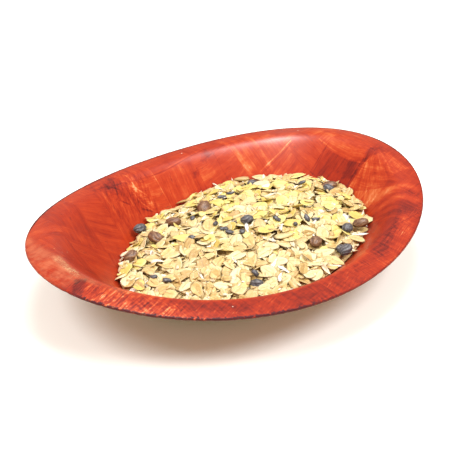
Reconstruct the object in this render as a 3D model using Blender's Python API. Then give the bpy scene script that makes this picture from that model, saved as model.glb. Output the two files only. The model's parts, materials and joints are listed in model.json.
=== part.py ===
"""Oval bowl pressed from thin strips of wood, with a heap of muesli in it.

Metres, +Z up. The origin is on the floor under the middle of the rim, and +X is the bowl's long way.
"""

import math
import random

import bmesh
import bpy
from mathutils import Matrix, Vector

# Bowl. The rim is an oval seen from above, and a saddle from the side: its two ends stand up.
RIM_HALF_LENGTH = 0.115
RIM_HALF_WIDTH = 0.0876
RIM_MID_HEIGHT = 0.035
RIM_LIFT = 0.0055  # the ends stand this much over the middle height, and the long sides as much under it
WALL = 0.0022
RIM_EDGE = 0.0011  # the lip thins to this at its outer edge
LIP_WIDTH = 0.0122
LIP_RISE = 0.0012  # from the edge to the lip's inner side
LIP_BEND = 0.005  # radius of the upper face where the lip turns down
FLOOR_BEND = 0.024  # radius of the upper face where the wall meets the floor
WALL_SLOPE = math.radians(46)
AROUND = 72
LIP_STEPS = 2
BEND_STEPS = 3
WALL_STEPS = 2
FLOOR_BEND_STEPS = 4
SHARP_EDGE = math.radians(35)

# Heap. Its top is a low mound, highest off the middle and lowest at the -X end.
CROWN = Vector((0.035, -0.010, 0.0263))
FALL_LONG = 1.5  # metres of fall for each square metre of distance from the crown, along X
FALL_WIDE = 2.4  # the same along Y
HEAP_EDGE = 0.0020  # how thick the heap still is where it ends against the wall
COVER = 0.0015  # the core lies this far under the top of the flakes
CORE_MIDDLE = Vector((0.008, -0.002, 0.0))
CORE_AROUND = 48
CORE_TOP_RINGS = 4
CORE_SIDE_RINGS = 5
GAP = 0.0004  # between the muesli and the bowl
PIECE_GAP = 0.0007  # straight down from a piece to the bowl, which leaves about the same gap across

# Pieces of the heap that show: length, width and thickness.
FLAKE_SIDES = 8
BIG_FLAKE = (0.0106, 0.0082, 0.0012)
FLAKE = (0.0088, 0.0066, 0.0011)
SEED = (0.0105, 0.0058, 0.0024)
RAISIN = (0.0100, 0.0078, 0.0064)
CURRANT = (0.0078, 0.0064, 0.0054)
BIG_FLAKE_COUNT = 84
FLAKE_COUNT = 76
SEED_COUNT = 14
SIZE_SPREAD = 0.14
FLAKE_EDGE = (0.88, 1.08)  # how unevenly the edge runs, as shares of its radius
SEED_EDGE = (0.94, 1.04)
SEED_TAPER = 0.25
RAISIN_DENTS = (0.84, 1.08)
FLAKE_CUP = 0.10  # how far a flake's middle sinks or rises, as a share of its width
FLAKE_CURL = 0.0004
LEAN = math.radians(20)
FLAKE_SUNK = 0.0007  # how deep a flake's lowest point is in the core
RAISIN_SUNK = 0.4  # the same for a raisin, as a share of its thickness
SPOT_JITTER = (0.2, 0.8)
SEED_OF_CHANCE = 11
RAISIN_SPOTS = (
    (0.009, 0.034),
    (-0.013, 0.034),
    (-0.028, 0.032),
    (0.021, -0.040),
    (0.052, -0.046),
    (-0.046, 0.031),
)
CURRANT_SPOTS = (
    (-0.026, 0.047),
    (0.010, -0.001),
    (0.043, -0.042),
    (0.026, -0.052),
    (0.025, -0.0575),
    (0.074, -0.001),
    (0.052, 0.039),
    (-0.040, -0.024),
)
PULL_STEP = 0.001  # a piece that would cross the bowl moves in by this much at a time
PULL_TRIES = 9
GOLDEN_ANGLE = math.pi * (3 - math.sqrt(5))
HALVINGS = 24  # steps in each search that closes in on a distance
SLOPE_STEP = 0.0005
FULL_TURN = 2 * math.pi

RED_LACQUER = (0.50, 0.075, 0.025, 1)
OAT_TAN = (0.66, 0.47, 0.23, 1)
LACQUER_ROUGHNESS = 0.3
MUESLI_ROUGHNESS = 0.8


def clear_scene():
    for item in list(bpy.data.objects):
        bpy.data.objects.remove(item)


def make_material(name, colour, roughness):
    material = bpy.data.materials.new(name)
    material.use_nodes = True
    shader = material.node_tree.nodes["Principled BSDF"]
    shader.inputs["Base Color"].default_value = colour
    shader.inputs["Roughness"].default_value = roughness
    shader.inputs["Metallic"].default_value = 0
    material.diffuse_color = colour
    return material


def add_object(name, mesh_data, material, collection):
    mesh = bpy.data.meshes.new(name)
    mesh_data.to_mesh(mesh)
    mesh_data.free()
    mesh.materials.append(material)
    item = bpy.data.objects.new(name, mesh)
    collection.objects.link(item)
    return item


def rim_height(angle):
    return RIM_MID_HEIGHT + RIM_LIFT * math.cos(2 * angle)


def bowl_profile(angle):
    """The upper face at this angle of the rim, as (distance in, height, slope) from the edge to the floor."""
    edge_height = rim_height(angle)
    top = edge_height + LIP_RISE
    rows = []
    for step in range(LIP_STEPS):
        share = step / LIP_STEPS
        rows.append((LIP_WIDTH * share, edge_height + LIP_RISE * share, 0.0))
    for step in range(BEND_STEPS + 1):
        turn = WALL_SLOPE * step / BEND_STEPS
        rows.append((LIP_WIDTH + LIP_BEND * math.sin(turn), top - LIP_BEND * (1 - math.cos(turn)), turn))
    bend_drop = (LIP_BEND + FLOOR_BEND) * (1 - math.cos(WALL_SLOPE))
    straight = (top - WALL - bend_drop) / math.sin(WALL_SLOPE)
    start_in, start_height, _ = rows[-1]
    for step in range(1, WALL_STEPS + 1):
        along = straight * step / WALL_STEPS
        reach = start_in + along * math.cos(WALL_SLOPE)
        rows.append((reach, start_height - along * math.sin(WALL_SLOPE), WALL_SLOPE))
    floor_in = rows[-1][0] + FLOOR_BEND * math.sin(WALL_SLOPE)
    for step in range(1, FLOOR_BEND_STEPS + 1):
        turn = WALL_SLOPE * (1 - step / FLOOR_BEND_STEPS)
        rows.append((floor_in - FLOOR_BEND * math.sin(turn), WALL + FLOOR_BEND * (1 - math.cos(turn)), turn))
    return rows


def oval_point(angle, inset, height):
    x = (RIM_HALF_LENGTH - inset) * math.cos(angle)
    y = (RIM_HALF_WIDTH - inset) * math.sin(angle)
    return Vector((x, y, height))


def wall_thickness(inset):
    return min(WALL, RIM_EDGE + (WALL - RIM_EDGE) * inset / LIP_WIDTH)


def under_point(angle, row):
    """The lower face under one row of the profile."""
    inset, height, slope = row
    thickness = wall_thickness(inset)
    return oval_point(angle, inset - thickness * math.sin(slope), height - thickness * math.cos(slope))


def bridge_rings(mesh, outer, inner):
    count = len(outer)
    for index in range(count):
        after = (index + 1) % count
        mesh.faces.new((outer[index], outer[after], inner[after], inner[index]))


def build_bowl(material):
    mesh = bmesh.new()
    angles = [FULL_TURN * index / AROUND for index in range(AROUND)]
    profiles = [bowl_profile(angle) for angle in angles]
    row_count = len(profiles[0])
    upper_rings = []
    lower_rings = []
    for row in range(row_count):
        upper = [oval_point(a, p[row][0], p[row][1]) for a, p in zip(angles, profiles)]
        lower = [under_point(a, p[row]) for a, p in zip(angles, profiles)]
        upper_rings.append([mesh.verts.new(point) for point in upper])
        lower_rings.append([mesh.verts.new(point) for point in lower])
    for row in range(row_count - 1):
        bridge_rings(mesh, upper_rings[row], upper_rings[row + 1])
        bridge_rings(mesh, lower_rings[row + 1], lower_rings[row])
    bridge_rings(mesh, lower_rings[0], upper_rings[0])
    mesh.faces.new(upper_rings[-1])
    mesh.faces.new(list(reversed(lower_rings[-1])))
    bowl = add_object("bowl", mesh, material, bpy.context.scene.collection)
    bowl.data.shade_smooth()
    bowl.data.set_sharp_from_angle(angle=SHARP_EDGE)
    return bowl


def bowl_height(x, y):
    """Height of the upper face over this place, by closing in on the oval that passes through it."""
    low = 0.0
    high = RIM_HALF_WIDTH - WALL
    for _ in range(HALVINGS):
        inset = (low + high) / 2
        share = (x / (RIM_HALF_LENGTH - inset)) ** 2 + (y / (RIM_HALF_WIDTH - inset)) ** 2
        if share < 1:
            low = inset
        else:
            high = inset
    angle = math.atan2(y / (RIM_HALF_WIDTH - inset), x / (RIM_HALF_LENGTH - inset))
    return height_on_profile(bowl_profile(angle), inset)


def height_on_profile(rows, inset):
    for before, after in zip(rows, rows[1:]):
        if inset <= after[0]:
            share = (inset - before[0]) / (after[0] - before[0])
            return before[1] + (after[1] - before[1]) * share
    return rows[-1][1]


def heap_height(x, y):
    return CROWN.z - FALL_LONG * (x - CROWN.x) ** 2 - FALL_WIDE * (y - CROWN.y) ** 2


def heap_normal(x, y):
    slope_x = (heap_height(x + SLOPE_STEP, y) - heap_height(x, y)) / SLOPE_STEP
    slope_y = (heap_height(x, y + SLOPE_STEP) - heap_height(x, y)) / SLOPE_STEP
    return Vector((-slope_x, -slope_y, 1)).normalized()


def contact_inset(angle):
    """How far in from the rim the heap's edge lies at this angle."""
    rows = bowl_profile(angle)
    low = LIP_WIDTH
    high = rows[-1][0]
    for _ in range(HALVINGS):
        inset = (low + high) / 2
        place = oval_point(angle, inset, 0)
        if heap_height(place.x, place.y) - height_on_profile(rows, inset) < HEAP_EDGE:
            low = inset
        else:
            high = inset
    return inset


def heap_place(angle, share):
    """A place on the heap, from its middle (share 0) to its edge (share 1)."""
    edge = oval_point(angle, contact_inset(angle), 0)
    return CORE_MIDDLE.lerp(edge, share)


def build_core(material):
    """The plain body of the heap: its top under the flakes, its underside along the bowl."""
    mesh = bmesh.new()
    angles = [FULL_TURN * index / CORE_AROUND for index in range(CORE_AROUND)]
    rings = []
    for ring in range(1, CORE_TOP_RINGS + 1):
        places = [heap_place(angle, ring / CORE_TOP_RINGS) for angle in angles]
        rings.append([mesh.verts.new((p.x, p.y, heap_height(p.x, p.y) - COVER)) for p in places])
    for ring in range(CORE_SIDE_RINGS + 1):
        points = [core_side_point(angle, ring / CORE_SIDE_RINGS) for angle in angles]
        rings.append([mesh.verts.new(point) for point in points])
    crown = mesh.verts.new((CORE_MIDDLE.x, CORE_MIDDLE.y, heap_height(CORE_MIDDLE.x, CORE_MIDDLE.y) - COVER))
    for index in range(CORE_AROUND):
        after = (index + 1) % CORE_AROUND
        mesh.faces.new((crown, rings[0][index], rings[0][after]))
    for inner, outer in zip(rings, rings[1:]):
        bridge_rings(mesh, outer, inner)
    mesh.faces.new(list(reversed(rings[-1])))
    bmesh.ops.recalc_face_normals(mesh, faces=mesh.faces)
    return add_object("muesli", mesh, material, bpy.context.scene.collection)


def core_side_point(angle, share):
    """A point on the core's underside, from the heap's edge (share 0) to the floor (share 1)."""
    rows = bowl_profile(angle)
    edge_in = contact_inset(angle)
    inset = edge_in + (rows[-1][0] - edge_in) * share
    slope = slope_on_profile(rows, inset)
    height = height_on_profile(rows, inset)
    return oval_point(angle, inset + GAP * math.sin(slope), height + GAP * math.cos(slope))


def slope_on_profile(rows, inset):
    for before, after in zip(rows, rows[1:]):
        if inset <= after[0]:
            return math.atan2(before[1] - after[1], after[0] - before[0])
    return 0.0


def flake_mesh(size, rng):
    """An oval flake with an uneven, curling edge and a middle that is sunk or raised, flat at the origin."""
    length, width, thickness = size
    mesh = bmesh.new()
    edge = []
    for index in range(FLAKE_SIDES):
        angle = FULL_TURN * index / FLAKE_SIDES
        uneven = rng.uniform(*FLAKE_EDGE)
        x = length / 2 * uneven * math.cos(angle)
        y = width / 2 * uneven * math.sin(angle)
        edge.append(mesh.verts.new((x, y, rng.uniform(-FLAKE_CURL, FLAKE_CURL))))
    sink = FLAKE_CUP * width * rng.choice((-1, 1))
    close_lens(mesh, edge, thickness / 2 - sink, -thickness / 2 - sink)
    return mesh


def close_lens(mesh, edge, top, bottom):
    """Joins a ring to one point over it and one under it."""
    top_point = mesh.verts.new((0, 0, top))
    bottom_point = mesh.verts.new((0, 0, bottom))
    for index, vert in enumerate(edge):
        after = edge[(index + 1) % len(edge)]
        mesh.faces.new((top_point, vert, after))
        mesh.faces.new((bottom_point, after, vert))


def seed_mesh(size, rng):
    """A seed with one narrow end, thickest in the middle."""
    length, width, thickness = size
    mesh = bmesh.new()
    edge = []
    for index in range(FLAKE_SIDES):
        angle = FULL_TURN * index / FLAKE_SIDES
        x = length / 2 * math.cos(angle)
        y = width / 2 * math.sin(angle) * (1 - SEED_TAPER * math.cos(angle)) * rng.uniform(*SEED_EDGE)
        edge.append(mesh.verts.new((x, y, 0)))
    close_lens(mesh, edge, thickness / 2, -thickness / 2)
    return mesh


def raisin_mesh(size, rng):
    """A shrivelled oval fruit."""
    mesh = bmesh.new()
    bmesh.ops.create_icosphere(mesh, subdivisions=1, radius=0.5)
    for vert in mesh.verts:
        vert.co = vert.co * Vector(size) * rng.uniform(*RAISIN_DENTS)
    return mesh


def clears_bowl(mesh):
    return all(vert.co.z - bowl_height(vert.co.x, vert.co.y) > PIECE_GAP for vert in mesh.verts)


def settle_piece(make_mesh, size, place, sunk, rng):
    """Lays one piece on the core, and moves it in until it is clear of the bowl. None where it never is."""
    grow = 1 + rng.uniform(-SIZE_SPREAD, SIZE_SPREAD)
    piece = make_mesh([side * grow for side in size], rng)
    tilt_axis = Vector((1, 0, 0))
    tilt_axis.rotate(Matrix.Rotation(rng.uniform(0, FULL_TURN), 3, "Z"))
    tilt = Matrix.Rotation(rng.uniform(-LEAN, LEAN), 4, tilt_axis)
    spin = Matrix.Rotation(rng.uniform(0, FULL_TURN), 4, "Z")
    bmesh.ops.transform(piece, matrix=tilt @ spin, verts=piece.verts)
    lowest = min(vert.co.z for vert in piece.verts)
    for attempt in range(PULL_TRIES):
        inward = (CORE_MIDDLE - place).normalized() * PULL_STEP * attempt
        x = place.x + inward.x
        y = place.y + inward.y
        height = heap_height(x, y) - COVER - lowest - sunk
        upright = Vector((0, 0, 1)).rotation_difference(heap_normal(x, y)).to_matrix().to_4x4()
        laid = piece.copy()
        bmesh.ops.transform(laid, matrix=Matrix.Translation((x, y, height)) @ upright, verts=laid.verts)
        if clears_bowl(laid):
            piece.free()
            return laid
        laid.free()
    piece.free()
    return None


def heap_pieces(rng):
    """Every piece that shows, largest kinds first: (shape, size, place, depth sunk in the core)."""
    pieces = []
    for spots, size in ((RAISIN_SPOTS, RAISIN), (CURRANT_SPOTS, CURRANT)):
        for x, y in spots:
            pieces.append((raisin_mesh, size, Vector((x, y, 0)), size[2] * RAISIN_SUNK))
    kinds = (
        (seed_mesh, SEED, SEED_COUNT),
        (flake_mesh, BIG_FLAKE, BIG_FLAKE_COUNT),
        (flake_mesh, FLAKE, FLAKE_COUNT),
    )
    for make_mesh, size, count in kinds:
        start = rng.uniform(0, FULL_TURN)
        for index in range(count):
            share = math.sqrt((index + rng.uniform(*SPOT_JITTER)) / count)
            place = heap_place(start + GOLDEN_ANGLE * index, share)
            pieces.append((make_mesh, size, place, FLAKE_SUNK))
    return pieces


def keep_outer_shell(mesh_data):
    """Drops every shell but the largest, which fills sealed hollows and leaves out loose scraps."""
    shells = []
    unseen = set(mesh_data.faces)
    while unseen:
        shell = []
        waiting = [unseen.pop()]
        while waiting:
            face = waiting.pop()
            shell.append(face)
            beside = {other for edge in face.edges for other in edge.link_faces}
            waiting.extend(beside & unseen)
            unseen -= beside
        shells.append(shell)
    shells.sort(key=len)
    stray = [face for shell in shells[:-1] for face in shell]
    bmesh.ops.delete(mesh_data, geom=stray, context="FACES")


def build_muesli(material):
    rng = random.Random(SEED_OF_CHANCE)
    core = build_core(material)
    loose = bpy.data.collections.new("loose_pieces")
    bpy.context.scene.collection.children.link(loose)
    for make_mesh, size, place, sunk in heap_pieces(rng):
        piece = settle_piece(make_mesh, size, place, sunk, rng)
        if piece:
            add_object("piece", piece, material, loose)
    fuse = core.modifiers.new("fuse", "BOOLEAN")
    fuse.operation = "UNION"
    fuse.operand_type = "COLLECTION"
    fuse.collection = loose
    fuse.solver = "MANIFOLD"
    graph = bpy.context.evaluated_depsgraph_get()
    fused = bmesh.new()
    fused.from_object(core, graph)
    keep_outer_shell(fused)
    core.modifiers.clear()
    fused.to_mesh(core.data)
    fused.free()
    for item in list(loose.objects):
        bpy.data.objects.remove(item)
    bpy.data.collections.remove(loose)
    return core


def main():
    clear_scene()
    build_bowl(make_material("red_lacquered_wood", RED_LACQUER, LACQUER_ROUGHNESS))
    build_muesli(make_material("muesli", OAT_TAN, MUESLI_ROUGHNESS))


main()
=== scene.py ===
import json
import math
import random

import bmesh
import bpy
import numpy as np
from mathutils import Matrix, Vector

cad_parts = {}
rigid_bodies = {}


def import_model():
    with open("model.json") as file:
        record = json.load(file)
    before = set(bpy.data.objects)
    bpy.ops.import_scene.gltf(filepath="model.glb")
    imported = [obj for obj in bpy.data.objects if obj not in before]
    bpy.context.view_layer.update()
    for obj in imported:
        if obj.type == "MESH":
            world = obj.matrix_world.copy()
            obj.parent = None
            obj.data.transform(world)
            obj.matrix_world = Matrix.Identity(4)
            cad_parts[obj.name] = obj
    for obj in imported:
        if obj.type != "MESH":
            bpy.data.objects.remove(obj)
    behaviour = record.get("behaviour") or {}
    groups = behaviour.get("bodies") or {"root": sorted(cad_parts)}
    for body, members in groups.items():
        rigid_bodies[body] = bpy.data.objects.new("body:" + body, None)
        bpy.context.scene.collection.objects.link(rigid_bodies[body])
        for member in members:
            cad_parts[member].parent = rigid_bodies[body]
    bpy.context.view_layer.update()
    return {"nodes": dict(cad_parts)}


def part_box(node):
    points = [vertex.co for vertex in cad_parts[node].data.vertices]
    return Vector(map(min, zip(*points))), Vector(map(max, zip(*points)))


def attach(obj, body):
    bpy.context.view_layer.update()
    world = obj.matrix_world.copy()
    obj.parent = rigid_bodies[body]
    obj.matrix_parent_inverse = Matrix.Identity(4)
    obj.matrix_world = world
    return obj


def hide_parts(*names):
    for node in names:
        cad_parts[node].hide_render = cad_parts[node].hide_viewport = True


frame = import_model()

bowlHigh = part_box("bowl")[1]
mm = 0.001
fullTurn = 2 * math.pi
halvings = 24  # steps in each search that closes in on a distance
print("frame loaded:", sorted(frame["nodes"]))


def addObject(name, data):
    item = bpy.data.objects.new(name, data)
    bpy.context.scene.collection.objects.link(item)
    return item


def addPiece(name, meshData, finish):
    mesh = bpy.data.meshes.new(name)
    meshData.to_mesh(mesh)
    meshData.free()
    mesh.materials.append(finish)
    mesh.shade_smooth()
    return addObject(name, mesh)


def bridge(mesh, outer, inner):  # joins two rings of as many points by a band of faces
    for corners in zip(outer, outer[1:] + outer[:1], inner[1:] + inner[:1], inner):
        mesh.faces.new(corners)


def closeRing(mesh, ring, middle):
    for before, after in zip(ring, ring[1:] + ring[:1]):
        mesh.faces.new((before, after, middle))


# the photo's own angle
cameraSettings = {
    "place": (-0.3066, -0.3161, 0.27205),
    "azimuth": math.radians(-43.797),  # 0 looks along +Y
    "elevation": math.radians(29.519),
    "lens": 74.904,
    "sensor": 36.0,
}


def addCamera(settings):
    azimuth = settings["azimuth"]
    elevation = settings["elevation"]
    flat = math.cos(elevation)
    back = Vector((math.sin(azimuth) * flat, -math.cos(azimuth) * flat, math.sin(elevation)))
    right = Vector((math.cos(azimuth), math.sin(azimuth), 0))
    turned = Matrix((right, back.cross(right), back)).transposed().to_4x4()
    data = bpy.data.cameras.new("photoCamera")
    data.lens = settings["lens"]
    data.sensor_width = settings["sensor"]
    data.clip_start = 0.01
    data.clip_end = 20
    camera = addObject("photoCamera", data)
    camera.matrix_world = Matrix.Translation(settings["place"]) @ turned
    bpy.context.scene.camera = camera
    return right, back


class Signal:  # one socket of a material, so that a sum of sockets can be written as a sum
    def __init__(self, finish, socket):
        self.finish = finish
        self.socket = socket

    def other(self, output):  # another output of the same node
        return Signal(self.finish, self.socket.node.outputs[output])

    def math(self, operation, *values):
        return self.finish.node("Math", {"operation": operation}, dict(enumerate((self,) + values)))

    def __add__(self, value):
        return self.math("ADD", value)

    def __mul__(self, value):
        return self.math("MULTIPLY", value)

    def __sub__(self, value):
        return self.math("SUBTRACT", value)

    def __rsub__(self, value):
        return self.finish.node("Math", {"operation": "SUBTRACT"}, {0: value, 1: self})

    def __abs__(self):
        return self.math("ABSOLUTE")

    __radd__ = __add__
    __rmul__ = __mul__

    def over(self, level):
        return self.math("GREATER_THAN", level)

    def clamp(self):
        return self.finish.node("Clamp", None, {0: self})

    def smooth(self, low, high):  # 0 under low, 1 over high, and the other way round where low is the larger
        ends = {"Value": self, "From Min": min(low, high), "From Max": max(low, high)}
        rise = self.finish.node("MapRange", {"interpolation_type": "SMOOTHSTEP"}, ends)
        return 1 - rise if low > high else rise


class Finish:  # a material while it is put together
    def __init__(self, name):
        self.material = bpy.data.materials.new(name)
        self.material.use_nodes = True
        self.tree = self.material.node_tree
        self.shader = self.tree.nodes["Principled BSDF"]

    def node(self, kind, settings=None, sockets=None, output=0):
        made = self.tree.nodes.new("ShaderNode" + kind)
        for name, value in (settings or {}).items():
            if name == "stops":
                self.setStops(made.color_ramp, value)
            else:
                setattr(made, name, value)
        for name, value in (sockets or {}).items():
            self.plug(made.inputs[name], value)
        return Signal(self, made.outputs[output])

    def plug(self, socket, value):
        if isinstance(value, Signal):
            self.tree.links.new(value.socket, socket)
        else:
            socket.default_value = value

    def setStops(self, ramp, stops):
        while len(ramp.elements) < len(stops):
            ramp.elements.new(1.0)
        for element, (position, colour) in zip(ramp.elements, stops):
            element.position = position
            element.color = paint(*colour)

    def set(self, **values):  # the shader's own sockets, with spaces for the capitals
        for name, value in values.items():
            words = "".join(" " + letter if letter.isupper() else letter for letter in name).strip()
            self.plug(self.shader.inputs[words.replace("Ior", "IOR")], value)

    def ramp(self, factor, stops):
        return self.node("ValToRGB", {"stops": stops}, {0: factor})

    def blend(self, factor, first, colour):  # lays a painted colour over the first, as far as the factor says
        settings = {"data_type": "RGBA", "blend_type": "MIX", "clamp_factor": True}
        return self.node("Mix", settings, {0: factor, 6: first, 7: paint(*colour)}, 2)

    def point(self, x, y, z):
        return self.node("CombineXYZ", None, {0: x, 1: y, 2: z})

    def split(self, vector):
        first = self.node("SeparateXYZ", None, {0: vector})
        return first, first.other(1), first.other(2)

    def noise(self, vector, scale, detail=2.0, roughness=0.5):
        sockets = {"Vector": vector, "Scale": scale, "Detail": detail, "Roughness": roughness}
        return self.node("TexNoise", None, sockets)

    def streaks(self, along, across, shift, detail=2.0, roughness=0.5):  # noise drawn out one way
        return self.noise(self.point(along, across, shift), 1.0, detail, roughness)

    def cells(self, vector, scale, share):  # the way to each cell's middle, and 1 in this share of the cells
        cells = self.node("TexVoronoi", {"feature": "F1"}, {"Vector": vector, "Scale": scale})
        return cells, self.split(cells.other("Color"))[0].over(1 - share)

    def attribute(self, name, output="Fac"):
        return self.node("Attribute", {"attribute_name": name}, None, output)

    def objectPlace(self):  # millimetres
        place = self.node("TexCoord", None, None, "Object")
        return self.node("VectorMath", {"operation": "SCALE"}, {0: place, "Scale": 1 / mm})

    def bump(self, height, distance, strength=1.0):
        return self.node("Bump", None, {"Height": height, "Distance": distance, "Strength": strength})


paintStrength = 0.80  # the photo's white ground is overexposed, so the lamps are strong and the colours deep


def paint(red, green, blue):  # a display colour from 0 to 255, as the linear one that a shader takes
    return *(paintStrength * ((part / 255 + 0.055) / 1.055) ** 2.4 for part in (red, green, blue)), 1.0


bowlForm = {
    "halfLength": bowlHigh.x,
    "halfWidth": bowlHigh.y,
    "midHeight": 35 * mm,
    "lift": 5.5 * mm,  # the rim's ends stand this much over the middle height
    "wall": 2.2 * mm,
    "edge": 1.1 * mm,
    "edgeRound": 0.25 * mm,
    "lipWidth": 12.2 * mm,
    "lipRise": 1.2 * mm,
    "lipBend": 5 * mm,
    "floorBend": 24 * mm,
    "slope": math.radians(46),
    "around": 600,
    "rows": {"lip": 7, "bend": 14, "wall": 9, "floorBend": 10, "floor": 7},
    "floorInset": 60 * mm,  # the way in from the rim that all of the floor is given
    "roll": 4.5 * mm,  # how far the lip's bend is drawn out to either side
    "rollFrom": 4 * mm,  # the way in from the rim where that starts, and where it ends
    "rollTo": 26 * mm,
    "rollShares": ((-1.0, 0.12), (-0.5, 0.23), (0.0, 0.30), (0.5, 0.23), (1.0, 0.12)),
    "nearSide": math.radians(110),  # clockwise round the rim: here the bend is sharper
    "nearSharper": 0.75,
    "edgeWear": 0.10 * mm,  # nicks all round, and deeper ones along the front
    "frontWear": 0.45 * mm,
    "wornAt": math.radians(140),  # clockwise round the rim: here the nicks are deepest
    "wornBand": 1.5 * mm,
    "nickWaves": (37, 61, 89, 113, 149, 181),
    "ripple": 0.12 * mm,  # the pressed strips aren't quite level
    "rippleTo": 20 * mm,
    "slopeStep": 0.2 * mm,
    "seed": 5,
}


def rimHeight(angle):
    return bowlForm["midHeight"] + bowlForm["lift"] * np.cos(2 * angle)


def wallLength(angle):  # the straight part of the wall, down its slope
    form = bowlForm
    bendDrop = (form["lipBend"] + form["floorBend"]) * (1 - math.cos(form["slope"]))
    return (rimHeight(angle) + form["lipRise"] - form["wall"] - bendDrop) / math.sin(form["slope"])


def profileHeight(angle, inset):  # the upper face at these angles, this far in from the rim
    form = bowlForm
    slope = form["slope"]
    edge = rimHeight(angle)
    top = edge + form["lipRise"]
    wallIn = form["lipWidth"] + form["lipBend"] * math.sin(slope)
    wallTop = top - form["lipBend"] * (1 - math.cos(slope))
    wallEnd = wallIn + wallLength(angle) * math.cos(slope)
    floorIn = wallEnd + form["floorBend"] * math.sin(slope)
    across = np.clip((inset - form["lipWidth"]) / form["lipBend"], 0, math.sin(slope))
    lip = edge + form["lipRise"] * inset / form["lipWidth"]
    bend = top - form["lipBend"] * (1 - np.sqrt(1 - across ** 2))
    height = np.where(inset < form["lipWidth"], lip, bend)
    height = np.where(inset > wallIn, wallTop - (inset - wallIn) * math.tan(slope), height)
    across = np.clip((floorIn - inset) / form["floorBend"], 0, math.sin(slope))
    low = form["wall"] + form["floorBend"] * (1 - np.sqrt(1 - across ** 2))
    return np.where(inset > wallEnd, low, height)


def rolledHeight(angle, inset):  # the same, with the bend under the lip drawn out as pressing leaves it
    form = bowlForm
    near = np.clip(np.cos(angle + form["nearSide"]), 0, 1) ** 2
    reach = form["roll"] * (1 - form["nearSharper"] * near)
    reach = reach * np.clip((inset - form["rollFrom"]) / form["rollFrom"], 0, 1) * (inset < form["rollTo"])
    return sum(weight * profileHeight(angle, inset + reach * share) for share, weight in form["rollShares"])


def ringInsets(angles):  # how far in from the rim each ring of the face runs, at every angle
    form = bowlForm
    slope = form["slope"]
    bendEnd = form["lipWidth"] + form["lipBend"] * math.sin(slope) + form["roll"]
    wallEnd = bendEnd - form["roll"] + wallLength(angles) * math.cos(slope)
    floorStart = wallEnd + form["floorBend"] * math.sin(slope)
    level = angles * 0
    ends = (level, level + (form["lipWidth"] - form["roll"]), level + bendEnd, wallEnd, floorStart)
    insets = []
    for stage, name in enumerate(("lip", "bend", "wall", "floorBend")):
        steps = form["rows"][name]
        for step in range(steps + (name == "floorBend")):
            insets.append(ends[stage] + (ends[stage + 1] - ends[stage]) * (step / steps))
    return insets


def ovalPoint(angle, inset, height):
    x = (bowlForm["halfLength"] - inset) * math.cos(angle)
    y = (bowlForm["halfWidth"] - inset) * math.sin(angle)
    return Vector((x, y, height))


def rimNicks(rng, angles):  # a smooth random line round the rim, from 0 to 1
    waves = [(wave, rng.uniform(0.4, 1.0)) for wave in bowlForm["nickWaves"]]
    line = np.zeros(len(angles))
    for wave, share in waves:
        line += share * np.sin(wave * angles + rng.uniform(0, fullTurn))
    return (line - line.min()) / (line.max() - line.min())


def facePoints(angles, insets, nicks):  # one ring of the upper face, and the ring under it
    form = bowlForm
    heights = rolledHeight(angles, insets)
    step = form["slopeStep"]
    falls = (rolledHeight(angles, insets - step) - rolledHeight(angles, insets + step)) / (2 * step)
    upper = []
    lower = []
    for angle, inset, height, fall, nick in zip(angles, insets, heights, falls, nicks):
        tilt = max(0.0, math.atan(fall))
        front = max(0.0, math.cos(angle + form["wornAt"])) ** 4
        worn = (form["edgeWear"] + form["frontWear"] * front) * nick ** 3
        worn *= max(0.0, 1 - inset / form["wornBand"])
        ripple = math.sin(9 * angle + inset * 90) * math.sin(4 * angle)  # it only ever lowers the face
        level = form["ripple"] * (ripple - 1) / 2 * min(1.0, inset / form["lipWidth"])
        level *= tilt > 0.05 or inset < form["rippleTo"]
        thick = min(form["wall"], form["edge"] + (form["wall"] - form["edge"]) * inset / form["lipWidth"])
        upper.append(ovalPoint(angle, inset + worn, height + level))
        downIn = inset + worn - thick * math.sin(tilt)
        lower.append(ovalPoint(angle, downIn, height + level * 0.5 - thick * math.cos(tilt)))
    return upper, lower


def buildBowl(finish):
    form = bowlForm
    rng = random.Random(form["seed"])
    count = form["around"]
    angles = np.array([fullTurn * index / count for index in range(count)])
    nicks = rimNicks(rng, angles)
    mesh = bmesh.new()
    insetLayer = mesh.verts.layers.float.new("inset")
    underLayer = mesh.verts.layers.float.new("under")

    def addRing(points, insets, under):
        ring = []
        for point, inset in zip(points, insets):
            vert = mesh.verts.new(point)
            vert[insetLayer] = inset / mm
            vert[underLayer] = under
            ring.append(vert)
        return ring

    upper = []
    lower = []
    for insets in ringInsets(angles):
        above, below = facePoints(angles, insets, nicks)
        upper.append(addRing(above, insets, 0.0))
        lower.append(addRing(below, insets, 1.0))
    for rings, level, under in ((upper, form["wall"], 0.0), (lower, 0.0, 1.0)):
        lastRing = rings[-1]
        for step in range(1, form["rows"]["floor"]):
            size = 1 - step / form["rows"]["floor"]
            points = [Vector((vert.co.x * size, vert.co.y * size, level)) for vert in lastRing]
            rings.append(addRing(points, [form["floorInset"]] * count, under))
    edgeRing = []
    for top, bottom in zip(upper[0], lower[0]):  # the rim's edge is slightly round
        edgeRing.append((top.co + bottom.co) / 2)
        for vert in (top, bottom):
            vert.co.x -= form["edgeRound"] * vert.co.x / form["halfLength"]
            vert.co.y -= form["edgeRound"] * vert.co.y / form["halfWidth"]
    rim = addRing(edgeRing, [0.0] * count, 0.5)
    for outer, inner in zip([rim] + upper, upper):
        bridge(mesh, outer, inner)
    for outer, inner in zip([rim] + lower, lower):
        bridge(mesh, inner, outer)
    closeRing(mesh, upper[-1], addRing([(0, 0, form["wall"])], [form["floorInset"]], 0.0)[0])
    closeRing(mesh, lower[-1][::-1], addRing([(0, 0, 0)], [form["floorInset"]], 1.0)[0])
    return addPiece("pressedBowl", mesh, finish)


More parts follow.
